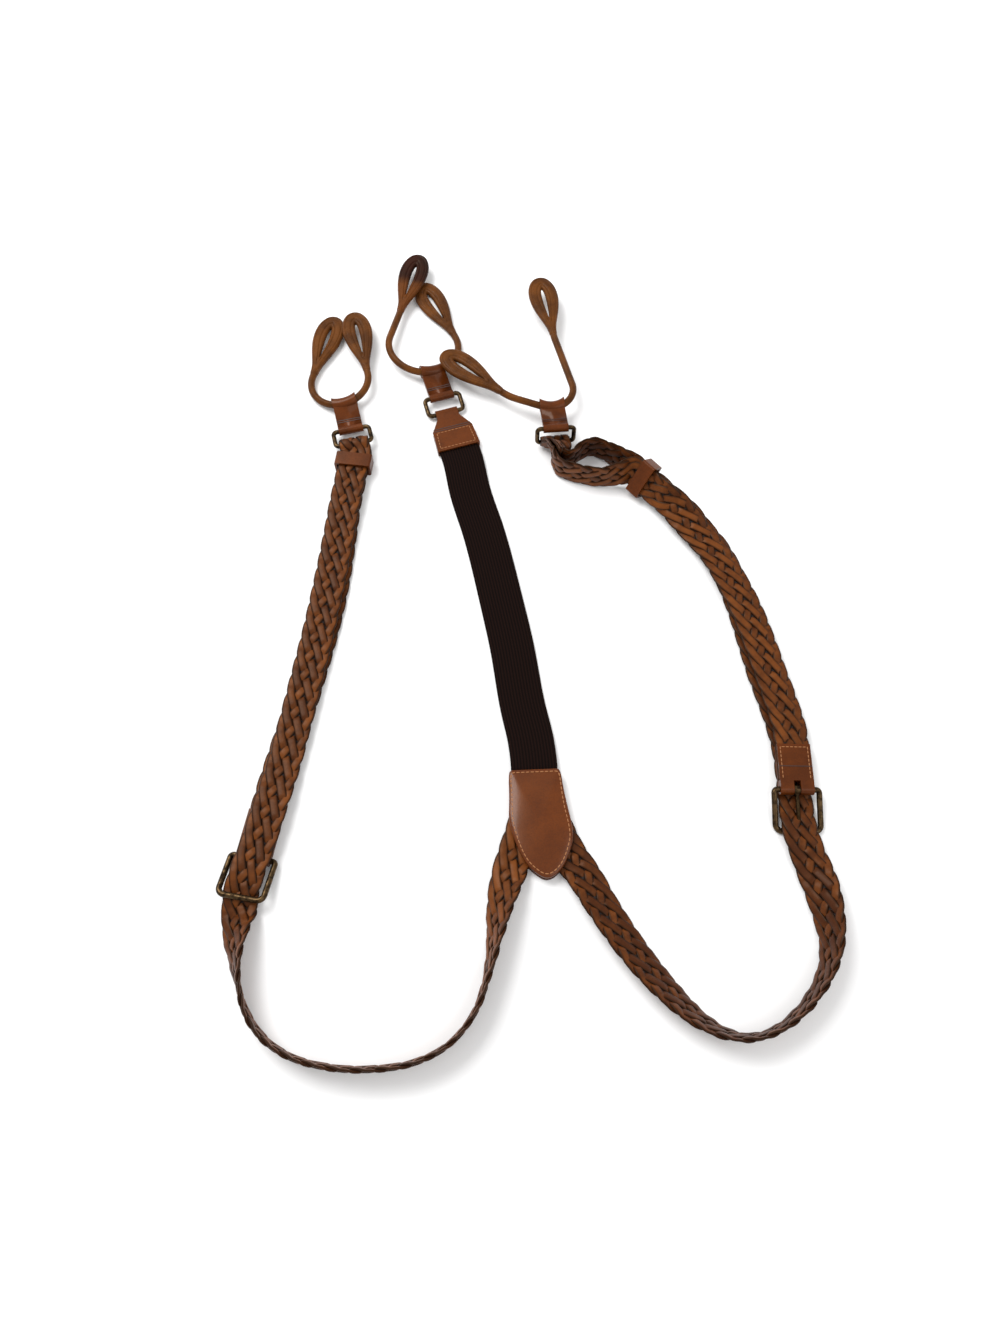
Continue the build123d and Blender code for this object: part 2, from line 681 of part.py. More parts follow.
def keeper_spots():
    left = Vector(-129.2, 115.8, (RAISED_LOW + RAISED_TOP) / 2)
    right = side_point(PAIR_START, PAIR_HEAD, PAIR_LENGTH - KEEPER_LONG / 2 - 3.2)
    return left, right


def build():
    parts = {}
    parts["left_strap"] = left_strap()
    parts["right_strap"] = right_strap()
    parts["back_elastic"] = back_elastic()
    back, middle, front, line = yoke(
        [parts["left_strap"], parts["right_strap"]], parts["back_elastic"])
    parts["yoke_back"] = back
    parts["yoke_filler"] = middle
    parts["yoke_front"] = front
    parts["yoke_stitching"] = line
    buckles = {"left": (LEFT_HEEL, LEFT_U, True), "right": (RIGHT_HEEL, RIGHT_U, False)}
    for name, spot in buckles.items():
        parts[name + "_chape"] = chape(*spot)
        parts[name + "_chape_stitching"] = chape_stitching(*spot)
        parts[name + "_buckle_frame"] = buckle_frame(*spot)
        parts[name + "_buckle_prong"] = prong(*spot)
    left_keeper, right_keeper = keeper_spots()
    parts["left_keeper"] = keeper(left_keeper, 83.05, 0)
    parts["right_keeper"] = keeper(right_keeper, PAIR_HEAD, -PAIR_LEAN)
    parts["left_ring"] = ring(LEFT_RING, LEFT_RING_HEAD, ring_pitch(LEFT_RING))
    parts["right_ring"] = ring(RIGHT_RING, RIGHT_RING_HEAD, RIGHT_RING_PITCH)
    parts["back_ring"] = ring(BACK_RING, BACK_HEAD, ring_pitch(BACK_RING))
    parts["back_end_tab"] = end_tab()
    parts["back_end_tab_stitching"] = end_tab_stitching()
    for name, cords in cord_sets().items():
        parts[name + "_runner"] = cords.runner()
        parts[name + "_runner_stitching"] = cords.runner_stitching()
        parts[name + "_cord"] = cords.cord()
        parts[name + "_cord_core"] = cords.core()
        parts[name + "_tab_a"] = cords.tab(cords.left_end, 3.0 if name == "back" else 0.0)
        parts[name + "_tab_b"] = cords.tab(cords.right_end)
    return parts


def main():
    os.makedirs("parts", exist_ok=True)
    shift = Location((-CENTRE[0], -CENTRE[1], 0))
    low = [1e9] * 3
    high = [-1e9] * 3
    for name, shape in build().items():
        shape = shift * shape
        box = shape.bounding_box()
        low = [min(a, b) for a, b in zip(low, box.min)]
        high = [max(a, b) for a, b in zip(high, box.max)]
        solids = shape.solids()
        print(f"{name:26s} solids {len(solids)} volume {shape.volume:9.1f} "
              f"z {box.min.Z:6.2f} {box.max.Z:6.2f} valid {shape.is_valid}")
        export_step(shape, "parts/" + name + ".step")
    print("low", [round(v, 2) for v in low], "high", [round(v, 2) for v in high])
    print("centre", [round((a + b) / 2, 3) for a, b in zip(low, high)])
    for name, cords in cord_sets().items():
        print(name, "cord centre", cords.centre(), "low", cords.low, "bar", cords.bar,
              "ends", cords.left_end, cords.right_end)


main()
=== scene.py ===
"""Braided leather Y-back braces, laid flat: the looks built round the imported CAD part."""

import math

import bmesh
import bpy
import numpy as np
from mathutils import Matrix, Vector


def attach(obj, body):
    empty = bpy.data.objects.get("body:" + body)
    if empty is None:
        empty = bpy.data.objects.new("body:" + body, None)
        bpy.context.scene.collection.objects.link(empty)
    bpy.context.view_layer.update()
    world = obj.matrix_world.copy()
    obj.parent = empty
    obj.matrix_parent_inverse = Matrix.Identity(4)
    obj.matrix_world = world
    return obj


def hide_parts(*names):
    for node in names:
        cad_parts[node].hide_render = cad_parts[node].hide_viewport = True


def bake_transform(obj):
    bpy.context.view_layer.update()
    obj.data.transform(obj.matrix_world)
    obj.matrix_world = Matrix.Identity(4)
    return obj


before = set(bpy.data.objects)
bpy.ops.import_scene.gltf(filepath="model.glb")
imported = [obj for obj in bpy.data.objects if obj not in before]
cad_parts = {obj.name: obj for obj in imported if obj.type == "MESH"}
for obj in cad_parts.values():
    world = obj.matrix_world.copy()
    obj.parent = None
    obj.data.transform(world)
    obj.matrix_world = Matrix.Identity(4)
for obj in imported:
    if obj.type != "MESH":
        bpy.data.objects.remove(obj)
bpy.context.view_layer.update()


# --- Braided straps: flat plaits of seven waxed leather strips, 23 mm wide and nearly 4 mm
# thick. Each leaves the yoke, makes the shoulder loop, passes under its buckle, goes up to a
# wire ring, turns round it and comes back to the buckle's chape. Lengths are in millimetres.
MM = 0.001
LAYOUT_MIDDLE = np.array([-0.1, 4.1, 0.0])
STRAP_W, STRAP_T = 23.0, 3.8
YOKE_Z = 3.8                      # the straps' middle between the yoke's two plates
LOW, TOP = 1.9, 6.1               # one layer on the floor, and a second on top of it
UNDER, OVER, BIGHT = 4.0, 8.2, 3.23  # the layers beside a ring, and the turn round its wire
PLAIT_REPEAT, PLAIT_HALF = 100.0, 11.5
PLAIT_SLOPE = 4 * PLAIT_HALF / PLAIT_REPEAT
STRIPS, STRIP_HALF, STRIP_THICK = 7, 2.95, 0.88
OVER_RIGHT = (1, 1, -1, 1, 1, -1)  # over or under, column by column, for a strip going right


def unit(v):
    return v / np.maximum(np.linalg.norm(v, axis=-1, keepdims=True), 1e-12)


def heading_vector(heading):
    return np.array([math.cos(math.radians(heading)), math.sin(math.radians(heading)), 0.0])


def rest(lean):
    """Height of the middle of a strap that leans by this much and touches the floor."""
    angle = math.radians(lean)
    return STRAP_W / 2 * abs(math.sin(angle)) + STRAP_T / 2 * abs(math.cos(angle))


def from_point(origin, heading, u, v, z, lean):
    """A station u along the heading from origin and v to its left."""
    ahead = heading_vector(heading)
    x, y = np.asarray(origin[:2]) + ahead[:2] * u + np.array([-ahead[1], ahead[0]]) * v
    return (x, y, z, lean)


def round_bar(centre, heading, width):
    """Stations of the half turn round a ring's bar: a half circle seen from the side."""
    ahead = heading_vector(heading)
    out = []
    for angle in np.linspace(0, math.pi, 13):
        x, y = np.asarray(centre[:2]) + ahead[:2] * BIGHT * math.sin(angle)
        out.append((x, y, centre[2] + BIGHT * math.cos(angle), width))
    return out


def standing_pair(u, side, lean):
    """A station where the right strap's two runs stand slanting beside the keeper."""
    ahead, right = heading_vector(131.6), heading_vector(41.6)
    angle = math.radians(55.0)
    spot = np.array([103.0, 81.0, 14.1]) + ahead * u
    spot = spot + (right * math.sin(angle) - np.array([0, 0, math.cos(angle)])) * side * 2.1
    return (*spot, lean)


def left_stations():
    """Stations (x, y, height, lean). Lean 0 and 180 lie flat, 90 stands on edge; three
    numbers in its place give the width's direction."""
    heel, turn = (-176.0, -187.0), 79.5
    loop = [
        (-1, -163, YOKE_Z, 0), (-6, -178, YOKE_Z, 0), (-9, -187, YOKE_Z, 0),
        (-12, -196, 5.0, 12), (-17.5, -217, rest(42), 42), (-21.5, -240, rest(68), 68),
        (-26, -262, rest(82), 82), (-33, -281, rest(84), 84), (-48, -299, rest(84), 84),
        (-68, -309, rest(84), 84), (-90, -312.5, rest(84), 84), (-119, -311.5, rest(86), 86),
        (-142, -305.5, rest(88), 88), (-158, -295.5, rest(90), 90), (-169.5, -281, rest(94), 94),
        (-176, -264, rest(104), 104), (-179.5, -248, rest(122), 122),
        (-181, -232, rest(148), 148), (-181.3, -221, 4.2, 177),
    ]
    buckle = [from_point(heel, turn, u, v, z, 180) for u, v, z in (
        (-26.4, 0.5, 5.8), (-9, 0, 9.4), (8, -1.5, 9.4), (31.5, -2.5, 9.4))]
    upper = [
        (-165, -143, 8.2, 180), (-162, -127, TOP, 180), (-157, -98, TOP, 180),
        (-151.5, -63, TOP, 180), (-145.5, -24, TOP, 180), (-141, 12, TOP, 180),
        (-137.5, 45, TOP, 180), (-134.9, 69, 7.1, 180), (-133.6, 80, OVER, 180),
        (-133.23, 83, OVER, 180), (-128.47, 121.8, OVER, 180), (-128.1, 124.8, OVER, 180),
    ]
    lower = [
        (-128.1, 124.8, UNDER, 0), (-128.47, 121.8, UNDER, 0), (-133.23, 83, UNDER, 0),
        (-133.6, 80, UNDER, 0), (-134.4, 69, 2.9, 0), (-136, 45, LOW, 0), (-138.5, 12, LOW, 0),
        (-143.5, -24, LOW, 0), (-151, -63, LOW, 0), (-158.5, -98, LOW, 0), (-165, -127, LOW, 0),
        (-168, -142, 2.7, 0),
        from_point(heel, turn, 30.5, 0, 3.8, 0), from_point(heel, turn, 6, 0, 3.8, 0),
    ]
    bight = round_bar((-130, 133, 7.4), 104, tuple(heading_vector(14.0)))
    return loop + buckle + upper + bight + lower


def right_stations():
    """The right strap's stations. Its two runs part before the ring and twist on edge."""
    heel, turn = (176.5, -142.5), 89.0
    loop = [
        (18, -167, YOKE_Z, 180), (26, -184, YOKE_Z, 180), (30, -190.5, YOKE_Z, 180),
        (35.5, -198.5, 4.7, 172), (44, -213.5, rest(163), 163), (53, -228.5, rest(157), 157),
        (63, -243.5, rest(152), 152), (73, -256.8, rest(146), 146), (84, -269.5, rest(138), 138),
        (95, -280.5, rest(129), 129), (106, -288.5, rest(119), 119),
        (118, -293.8, rest(109), 109), (131, -295.3, rest(100), 100),
        (144, -292, rest(96), 96), (158, -283.5, rest(97), 97), (171.5, -270, rest(99), 99),
        (181, -255, rest(104), 104), (185.5, -240, rest(114), 114), (186, -224, rest(130), 130),
        (184.5, -207, rest(150), 150), (180, -186, 4.6, 176),
    ]
    buckle = [from_point(heel, turn, u, v, z, 180) for u, v, z in (
        (-26.4, 0, 5.5), (-9, 0, LOW), (8, 0, LOW), (31.5, 1, LOW))]
    upper = [
        (173.5, -93, LOW, 180), (170, -77, LOW, 180), (165, -56, LOW, 180), (161, -34, LOW, 180),
        (155, -3, LOW, 180), (148, 22, LOW, 180), (139.5, 43, LOW, 180), (130, 57, 2.9, 176),
        (120, 68, 6.8, 158), (111.5, 75.5, 10, 138), standing_pair(0, 1, 125),
        standing_pair(3, 1, 125), standing_pair(26.4, 1, 125), standing_pair(29.4, 1, 125),
        (76.5, 111.5, 13, 112), (68.5, 118.5, 12, 97), (60.5, 124, 11.8, 92),
        (52.5, 126.8, 11.8, 90), (46, 125, 11.8, 90), (40.8, 120.8, 11.8, 90),
        (37.3, 116.9, 11.8, 90), (33.5, 115.2, 11.8, 90), (30.1, 116.6, 11.8, 90),
    ]
    ahead, flat, up = heading_vector(94.4), heading_vector(184.4), np.array([0, 0, 1.0])

    def twist(back, lean, side):
        """A station this far back from the ring, on one side of its own middle line."""
        c, s = math.cos(math.radians(lean)), math.sin(math.radians(lean))
        spot = np.array([24.5, 136.5, 0]) - ahead * back + (up * c - flat * s) * side * BIGHT
        return (spot[0], spot[1], spot[2] + rest(lean) + BIGHT * c + 0.2, tuple(flat * c + up * s))

    turning = ((17, 90), (14, 72), (11, 52), (8, 32), (5, 14), (2, 2))
    enter = [twist(back, lean, 1) for back, lean in turning]
    leave = [twist(back, lean, -1) for back, lean in turning[::-1]]
    lower = [
        (23.4, 114, 11.8, 90), (27, 108.5, 11.8, 90), (32.5, 105.2, 11.8, 90),
        (39.5, 102.8, 11.8, 90), (49, 100.2, 11.8, 90), (61, 99.2, 12.2, 88),
        (71.5, 100.8, 14, 76), standing_pair(29.4, -1, 55), standing_pair(26.4, -1, 55),
        standing_pair(3, -1, 55), standing_pair(0, -1, 55), (109.5, 74.5, 13.6, 40),
        (117, 66, 10.4, 20), (127, 54, 6.9, 4), (137, 40, TOP, 0), (146.5, 20, TOP, 0),
        (156, -5, TOP, 0), (164, -35, TOP, 0), (169, -58, TOP, 0), (174, -81, TOP, 0),
        (177, -99, 6.9, 0),
        from_point(heel, turn, 30.5, 0, 7.5, 0), from_point(heel, turn, 6, 0, 7.5, 0),
    ]
    bight = round_bar((24.5, 136.5, 5.33), 94.4, tuple(flat))
    return loop + buckle + upper + enter + bight + leave + lower


class Band:
    """A flat band along stations: a cubic through their middles, whose width direction turns
    evenly from station to station. at(along, across, out) gives points in the layout."""

    def __init__(self, stations, steps=24):
        points = np.array([s[:3] for s in stations], float)
        legs = np.diff(points, axis=0)
        span = np.linalg.norm(legs, axis=1)
        inner = (legs[:-1] / span[:-1, None] * span[1:, None]
                 + legs[1:] / span[1:, None] * span[:-1, None])
        tangents = unit(np.vstack([legs[:1], inner, legs[-1:]]))
        widths = np.array([self.width(s[3], t) for s, t in zip(stations, tangents)])
        t = (np.arange(steps) / steps)[None, :, None]
        p, q = points[:-1, None], points[1:, None]
        u, v = ((tangents[k:len(span) + k] * span[:, None])[:, None] for k in (0, 1))
        spots = p * (2 * t**3 - 3 * t**2 + 1) + u * (t**3 - 2 * t**2 + t)
        spots = spots + q * (3 * t**2 - 2 * t**3) + v * (t**3 - t**2)
        sides = widths[:-1, None] * (1 - t) + widths[1:, None] * t
        self.middle = np.vstack([spots.reshape(-1, 3), points[-1:]])
        sides = np.vstack([sides.reshape(-1, 3), widths[-1:]])
        along = unit(np.gradient(self.middle, axis=0))
        self.side = unit(sides - along * np.sum(sides * along, axis=1, keepdims=True))
        self.face = np.cross(along, self.side)
        steps = np.linalg.norm(np.diff(self.middle, axis=0), axis=1)
        self.run = np.concatenate([[0], np.cumsum(steps)])
        self.length = self.run[-1]

    @staticmethod
    def width(lean, ahead):
        if isinstance(lean, tuple):
            return unit(np.array(lean))
        flat = unit(np.array([-ahead[1], ahead[0], 0.0]))
        angle = math.radians(lean)
        return flat * math.cos(angle) + np.array([0, 0, math.sin(angle)])

    def at(self, s, v, h):
        s, v, h = np.broadcast_arrays(s, v, h)
        middle, side, face = (
            np.stack([np.interp(s, self.run, line[:, k]) for k in range(3)], -1)
            for line in (self.middle, self.side, self.face))
        return middle + unit(side) * v[..., None] + unit(face) * h[..., None]


class Sock:
    """A shader socket for use in expressions: each + or * adds one Math node."""

    def __init__(self, tree, socket=None):
        self.tree, self.socket = tree, socket

    def node(self, kind, out=0, inputs=None, **settings):
        """Adds a node, sets its properties and inputs, and returns one of its outputs."""
        made = self.tree.nodes.new(kind)
        for key, value in settings.items():
            setattr(made, key, value)
        for key, value in (inputs or {}).items():
            if isinstance(value, Sock):
                self.tree.links.new(value.socket, made.inputs[key])
            else:
                made.inputs[key].default_value = value
        return Sock(self.tree, made.outputs[out])

    def math(self, operation, other=0.0):
        return self.node("ShaderNodeMath", operation=operation, inputs={0: self, 1: other})

    def __add__(self, other):
        return self.math("ADD", other)

    def __mul__(self, other):
        return self.math("MULTIPLY", other)

    __radd__, __rmul__ = __add__, __mul__

    def ramp(self, low, high):
        """0 below low, 1 above high, smooth between."""
        return self.node("ShaderNodeMapRange", interpolation_type="SMOOTHSTEP",
                         inputs={"Value": self, "From Min": low, "From Max": high})

    def mix(self, low, high):
        """The colour between low and high by this value."""
        low, high = (end if isinstance(end, Sock) else (*end, 1.0) for end in (low, high))
        return self.node("ShaderNodeMix", 2, {0: self, 6: low, 7: high}, data_type="RGBA")

    def noise(self, scale, detail=3.0, rough=0.6):
        """Noise over these coordinates."""
        return self.node("ShaderNodeTexNoise", inputs={
            "Vector": self, "Scale": scale, "Detail": detail, "Roughness": rough})

    def bump(self, strength, distance):
        """A surface normal raised by this height."""
        return self.node("ShaderNodeBump", inputs={
            "Height": self, "Strength": strength, "Distance": distance})


def srgb(r, g, b):
    """Linear colour from 0-255 values."""
    return tuple(((c / 255 + 0.055) / 1.055) ** 2.4 if c > 10 else c / 255 / 12.92
                 for c in (r, g, b))


class Finish:
    """A material: fixed values on its shader's sockets, and links for what varies."""

    def __init__(self, name, **fixed):
        self.material = bpy.data.materials.new(name)
        self.material.use_nodes = True
        self.base = Sock(self.material.node_tree)
        self.shader = self.material.node_tree.nodes["Principled BSDF"]
        for key, value in fixed.items():
            self.shader.inputs[key.replace("_", " ")].default_value = value

    def wire(self, **links):
        for key, sock in links.items():
            sock.tree.links.new(sock.socket, self.shader.inputs[key.replace("_", " ")])

    def place(self):
        return self.base.node("ShaderNodeTexCoord", out=3)

    def marked(self, name):
        return self.base.node("ShaderNodeAttribute", out=2, attribute_name=name)


WAXED_SHINE = {"Coat_Roughness": 0.25, "Specular_Tint": (1.0, 0.7, 0.45, 1.0)}


def plaited_leather(name, light, dark):
    """Strip leather: colour by strip and by slow noise, with a painted highlight on strips that run
    one way, painted shade on strips that lie under others, and painted shade towards each strip's
    edges.
    """
    finish = Finish(name, Coat_Weight=0.04, Specular_IOR_Level=0.16, **WAXED_SHINE)
    where, edge, tone = finish.place(), finish.marked("edge"), finish.marked("tone")
    patch, fine = where.noise(120.0), where.noise(1100.0, 2.0)
    # The strip mark carries painted highlight and painted shade besides each strip's own colour.
    body = (patch * 0.55 + tone * 0.5).ramp(0.25, 0.8).mix(dark, light)
    # Painted shade: the strips darken to near black towards their edges, where they tuck under
    # their neighbours.
    painted_edge_shade = edge.ramp(0.4, 0.95) * 0.9
    finish.wire(Base_Color=painted_edge_shade.mix(body, tuple(c * 0.16 for c in dark)),
                Roughness=fine * 0.2 + 0.36, Normal=fine.bump(0.3, 0.0003))
    return finish.material


def plain(name, colour, roughness, metallic=0.0):
    return Finish(name, Base_Color=(*colour, 1.0), Roughness=roughness, Metallic=metallic).material


PLAIT = plaited_leather("braided_leather", srgb(108, 58, 22), srgb(60, 27, 9))
# A near-black sheet inside each braid: painted shade for the gaps between the strips.
PLAIT_GAP_SHADE = plain("braid_gap_shade", srgb(22, 8, 4), 0.85)


def add_mesh(name, verts, faces, materials, face_material=None, smooth=True, **marks):
    """A mesh object from layout millimetres; marks are values or UV pairs per vertex."""
    mesh = bpy.data.meshes.new(name)
    points = (np.asarray(verts, float) - LAYOUT_MIDDLE) * MM
    mesh.from_pydata(points.tolist(), [], [list(map(int, f)) for f in faces])
    mesh.update()
    for label, values in marks.items():
        values = np.asarray(values, np.float32)
        if label == "uv":
            corners = np.empty(len(mesh.loops), np.int32)
            mesh.loops.foreach_get("vertex_index", corners)
            mesh.uv_layers.new(name="UVMap").data.foreach_set("uv", values[corners].ravel())
        else:
            mesh.attributes.new(label, "FLOAT", "POINT").data.foreach_set("value", values)
    for material in materials:
        mesh.materials.append(material)
    if face_material is not None:
        mesh.polygons.foreach_set("material_index", np.asarray(face_material, np.int32))
    if smooth:
        mesh.shade_smooth()
    obj = bpy.data.objects.new(name, mesh)
    bpy.context.collection.objects.link(obj)
    return obj


def grid_faces(rows, cols, close_rows=False, start=0):
    """Quads of a grid of vertices whose columns run round, and rows too if they are closed."""
    r, c = np.arange(rows if close_rows else rows - 1), np.arange(cols)
    rr, cc = np.meshgrid(r, c, indexing="ij")
    r2, c2 = (rr + 1) % rows, (cc + 1) % cols
    quads = np.stack([rr * cols + cc, rr * cols + c2, r2 * cols + c2, r2 * cols + cc], -1)
    return quads.reshape(-1, 4) + start


def zigzag(s):
    """A strip's place across the plait: a triangle wave with its corners rounded off by a
    parabola. Also +1 or -1 for the way it travels, and the plain wave from -1 to 1."""
    t = np.mod(s, PLAIT_REPEAT)
    rising = t < PLAIT_REPEAT / 2
    raw = np.where(rising, PLAIT_SLOPE * t - PLAIT_HALF, 3 * PLAIT_HALF - PLAIT_SLOPE * t)
    turn = PLAIT_HALF
    near = np.minimum(np.minimum(t, PLAIT_REPEAT - t), np.abs(t - PLAIT_REPEAT / 2))
    cut = np.where(near < turn, PLAIT_SLOPE * (turn - near) ** 2 / (2 * turn), 0.0)
    return raw - np.sign(raw) * cut, np.where(rising, 1, -1), raw / PLAIT_HALF


def over_under(x, way):
    """How far over (+1) or under (-1) the others a strip lies at x across: a level for each
    column between crossings, with a smooth step from one to the next."""
    knots = np.array([-1] + [-1 + 2 * k / STRIPS for k in range(1, STRIPS)] + [1])
    out = []
    for sign in (1, -1):
        levels = np.array([0] + [sign * o for o in OVER_RIGHT] + [0], float)
        i = np.clip(np.searchsorted(knots, x) - 1, 0, STRIPS - 1)
        t = (x - knots[i]) / (knots[i + 1] - knots[i])
        t = np.clip((t - 0.5) * 1.5 + 0.5, 0, 1)
        out.append(levels[i] + (levels[i + 1] - levels[i]) * t * t * (3 - 2 * t))
    return np.where(way > 0, *out)


def braid(name, strap, shift):
    """Seven zigzag strips of rounded section along the strap, and a thin near-black sheet inside
    them, painted shade that shows through the gaps between the strips.
    """
    angles = np.linspace(0, 2 * math.pi, 12, endpoint=False)
    section_x = np.sign(np.cos(angles)) * np.abs(np.cos(angles)) ** 0.7 * STRIP_HALF
    section_y = np.sign(np.sin(angles)) * np.abs(np.sin(angles)) ** 0.8 * STRIP_THICK
    s = np.arange(0.4, strap.length - 0.4, 1.35)
    rng = np.random.default_rng(int(shift) + 7)
    verts, faces, edge, tone = [], [], [], []
    for strip in range(STRIPS):
        v, way, x = zigzag(s + strip * PLAIT_REPEAT / STRIPS + shift)
        level = over_under(x, way)
        slope = np.gradient(v, s)
        size = np.sqrt(1 + slope**2)
        swell = 1 + 0.04 * np.sin(s / 9 + strip * 2.1)
        ss = s[:, None] + (-slope / size)[:, None] * section_x * swell[:, None]
        vv = v[:, None] + (1 / size)[:, None] * section_x * swell[:, None]
        vv = np.clip(vv, -PLAIT_HALF - 0.15, PLAIT_HALF + 0.15)
        ss = np.clip(ss, 0.0, strap.length)
        hh = level[:, None] * 0.93 + section_y
        verts.append(strap.at(ss, vv, hh).reshape(-1, 3))
        faces.append(grid_faces(len(s), 12, False, strip * len(s) * 12))
        # Distance from the strip's middle line, which drives the painted shade at its edges.
        edge.append(np.broadcast_to(np.abs(section_x) / STRIP_HALF, ss.shape).ravel())
        # Strip value: a random strip-to-strip colour, plus a painted highlight on strips running
        # one way and painted shade where a strip lies under the others.
        shade = 0.5 + 0.12 * way + 0.1 * rng.standard_normal() + 0.12 * level
        tone.append(np.broadcast_to(shade[:, None], ss.shape).ravel())
    # The thin near-black sheet is painted shade, seen through the gaps in the plait.
    gap_sheet_v, gap_sheet_h = np.array([-9.5, 9.5, 9.5, -9.5]), np.array([-0.35, -0.35, 0.35, 0.35])
    verts.append(strap.at(s[:, None], gap_sheet_v[None, :], gap_sheet_h[None, :]).reshape(-1, 3))
    faces.append(grid_faces(len(s), 4, False, STRIPS * len(s) * 12))
    edge.append(np.ones(len(s) * 4))
    tone.append(np.zeros(len(s) * 4))
    index = np.concatenate([np.full(len(f), k == STRIPS, int) for k, f in enumerate(faces)])
    obj = add_mesh(name, np.concatenate(verts), np.concatenate(faces), [PLAIT, PLAIT_GAP_SHADE],
                   index, edge=np.concatenate(edge), tone=np.concatenate(tone))
    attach(obj, "straps")
    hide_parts(name.replace("_braid", "_strap"))


braid("left_braid", Band(left_stations()), 12.0)
braid("right_braid", Band(right_stations()), 40.0)


# --- Yoke: two glazed leather plates sewn together round the strap ends and the elastic, with
# a filler between them. The cover is padded into a low dome and has a round lower tip. A row
# of linen stitches runs just inside its edge.
def leather(name, light, dark, roughness, coat, grain, spread=45.0, neck=None):
    """Two tones broken up by slow noise, with fine grain and pores; a neck colour, if there
    is one, covers the lower part of the piece."""
    finish = Finish(name, Coat_Weight=coat, Specular_IOR_Level=0.14,
                    **{**WAXED_SHINE, "Coat_Roughness": 0.16})
    where = finish.place()
    patch = where.noise(spread, 4.0).ramp(0.32, 0.68)
    fine = where.noise(900.0)
    pores = finish.base.node("ShaderNodeTexVoronoi", inputs={"Vector": where, "Scale": 1400.0})
    colour = patch.mix(dark, light)
    if neck:
        colour = (finish.marked("along") + patch * 0.12).ramp(0.42, 0.66).mix(neck, colour)
    speck = (fine.ramp(0.35, 0.75) * 0.35).mix(colour, tuple(c * 0.45 for c in dark))
    finish.wire(Base_Color=speck, Roughness=fine * 0.22 + roughness,
                Normal=(fine + pores * 0.7).bump(grain, 0.0004))
    return finish.material


SMOOTH = leather("smooth_leather", srgb(93, 43, 10), srgb(72, 31, 6), 0.26, 0.16, 0.2)
YOKE_COVER = leather("yoke_leather", srgb(95, 44, 8), srgb(82, 36, 6), 0.2, 0.35, 0.12)
THREAD = plain("linen_thread", srgb(150, 96, 52), 0.6)
YOKE_OUTLINE = np.array([
    (-12.5, -129.5), (22, -128), (24, -145), (30, -171.5), (26.8, -184), (21.3, -195.3),
    (12.4, -201.8), (3.6, -196.6), (-3, -189.2), (-8.8, -176), (-12.5, -163), (-11.8, -146)])


def turned_out(mesh, weld=0.0, grow=0.0):
    """Turns a mesh's faces outwards, after welding it; grow moves its skin out in metres."""
    work = bmesh.new()
    work.from_mesh(mesh)
    if weld:
        bmesh.ops.remove_doubles(work, verts=work.verts, dist=weld)
    bmesh.ops.recalc_face_normals(work, faces=work.faces)
    work.normal_update()
    for vertex in work.verts:
        vertex.co += vertex.normal * grow
    work.to_mesh(mesh)
    work.free()


def yoke_edge(inset):
    """The yoke's outline with cut corners, drawn in towards its middle by the inset."""
    line = YOKE_OUTLINE
    for _ in range(4):
        ahead = np.roll(line, -1, axis=0)
        top = np.stack([line[0] * 0.97 + ahead[0] * 0.03, line[0] * 0.03 + ahead[0] * 0.97])
        cut = np.stack([line * 0.75 + ahead * 0.25, line * 0.25 + ahead * 0.75], 1)[1:]
        line = np.vstack([top, cut.reshape(-1, 2)])
    middle = np.array([8.0, -162.0])
    reach = np.linalg.norm(line - middle, axis=1, keepdims=True)
    return middle + (line - middle) * (reach - inset) / reach


def yoke_plate(name, inset, low, high, dome, finish):
    """A slab between two heights: rings of its outline shrink to a point below its middle,
    and rise towards it by a power curve."""
    line, middle = yoke_edge(inset), np.array([8.0, -166.0])
    r = np.concatenate([np.linspace(0.03, 0.9, 24), [0.94, 0.97, 0.99, 1.0]])
    flat = middle + (line[:, None] - middle) * r[None, :, None]
    edge = np.clip((1 - r) / 0.06, 0, 1)
    rim = 0.5 * (dome > 0) * (1 - np.sqrt(1 - (1 - edge) ** 2))
    height = high - rim + dome * (1 - r**2.2) ** 0.8
    surface = np.dstack([flat, np.broadcast_to(height, flat.shape[:2])])
    under = np.dstack([flat, np.full(flat.shape[:2], low)])[:, ::-1]
    rings = np.concatenate([surface, under], axis=1)
    count, cols = rings.shape[:2]
    quads = grid_faces(count, cols, True)
    faces = quads[quads[:, 0] % cols < cols - 1].tolist()
    caps = np.arange(count) * cols
    faces += [caps[::-1].tolist(), (caps + cols - 1).tolist()]
    obj = add_mesh(name + "_leather", rings.reshape(-1, 3), faces, [finish])
    turned_out(obj.data)
    obj.data.set_sharp_from_angle(angle=math.radians(50))
    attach(obj, "straps")
    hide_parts(name)


def placed(points, origin, heading, pitch=0.0, roll=0.0):
    """Local points (+Y along the heading, +Z up), pitched and rolled, in the layout."""
    turn = Matrix.Rotation(math.radians(heading - 90), 3, "Z")
    turn = turn @ Matrix.Rotation(math.radians(pitch), 3, "X")
    turn = turn @ Matrix.Rotation(math.radians(roll), 3, "Y")
    return np.asarray(points, float) @ np.array(turn).T + np.asarray(origin, float)


